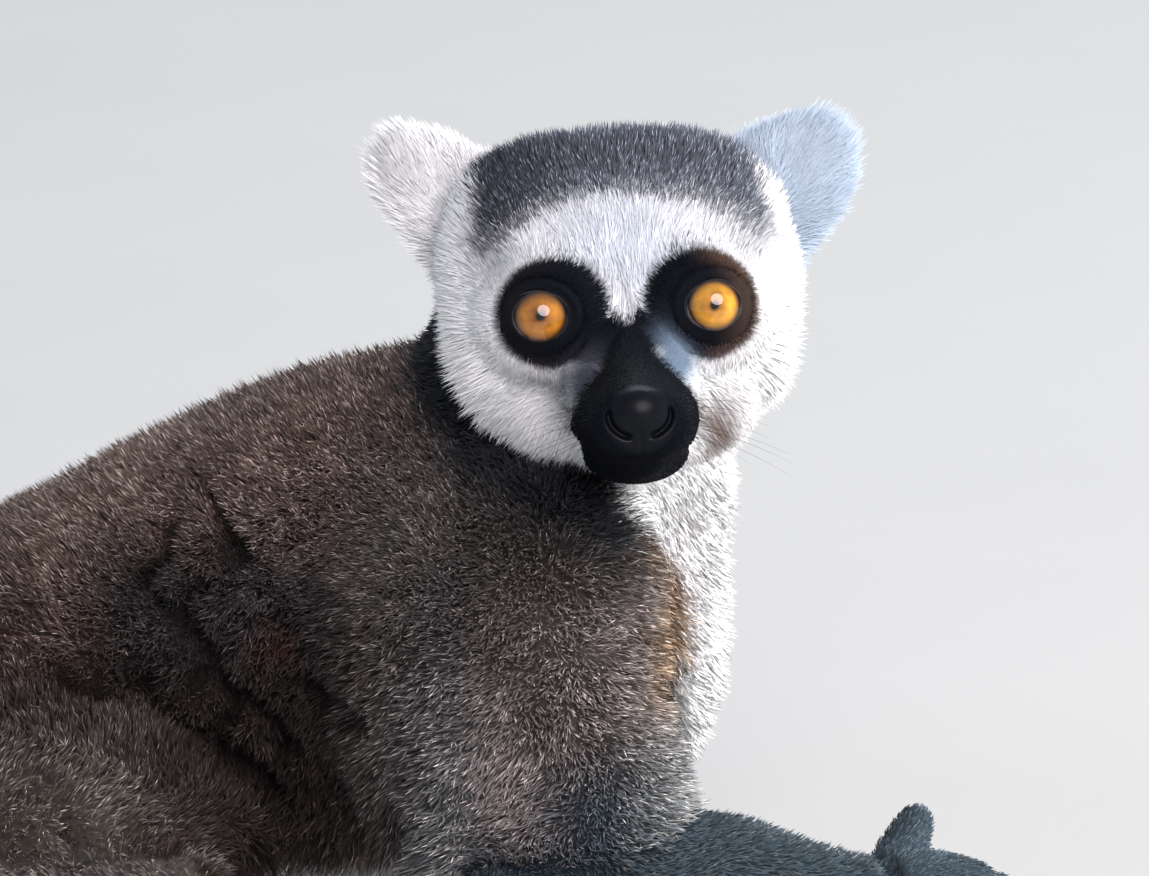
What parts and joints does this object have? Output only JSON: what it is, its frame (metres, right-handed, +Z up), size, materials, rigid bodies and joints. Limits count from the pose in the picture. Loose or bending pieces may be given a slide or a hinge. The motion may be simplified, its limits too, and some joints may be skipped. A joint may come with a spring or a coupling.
{
  "type": "ring-tailed lemur model",
  "caption": "Life-size still model of a ring-tailed lemur crouching on the floor and looking back over its right shoulder, ringed tail curled beside it.",
  "frame": {"origin": "on the floor, below the middle of the animal's box", "axes": "+X the way the body faces, -Y the animal's right side and the way the face looks, +Z up"},
  "size_m": [0.487, 0.3146, 0.1746],
  "materials": {
    "back_fur": "dense grey-brown fur with pale ticking",
    "neck_fur": "charcoal fur over the nape, white at the throat",
    "face_fur": "short white fur with a slate cap and black eye patches",
    "limb_fur": "short pale grey fur",
    "tail_fur": "fluffy fur in black and white rings",
    "bare_skin": "black skin with a soft sheen",
    "eye": "amber iris under a clear wet cornea"
  },
  "bodies": {
    "root": {"head": "face_fur", "muzzle": "bare_skin", "jaw": "bare_skin", "nose": "bare_skin", "eye_right": "eye", "eye_left": "eye", "ear_right": "face_fur", "ear_left": "face_fur", "neck": "neck_fur", "chest": "back_fur", "waist": "back_fur", "rump": "back_fur", "upper_arm_right": "back_fur", "upper_arm_left": "back_fur", "forearm_right": "limb_fur", "forearm_left": "limb_fur", "hand_right": "limb_fur", "hand_left": "limb_fur", "thigh_right": "back_fur", "thigh_left": "back_fur", "shank_right": "limb_fur", "shank_left": "limb_fur", "foot_right": "limb_fur", "foot_left": "limb_fur", "tail_1": "tail_fur", "tail_2": "tail_fur", "tail_3": "tail_fur", "tail_4": "tail_fur", "tail_5": "tail_fur", "tail_6": "tail_fur"}
  },
  "joints": []
}
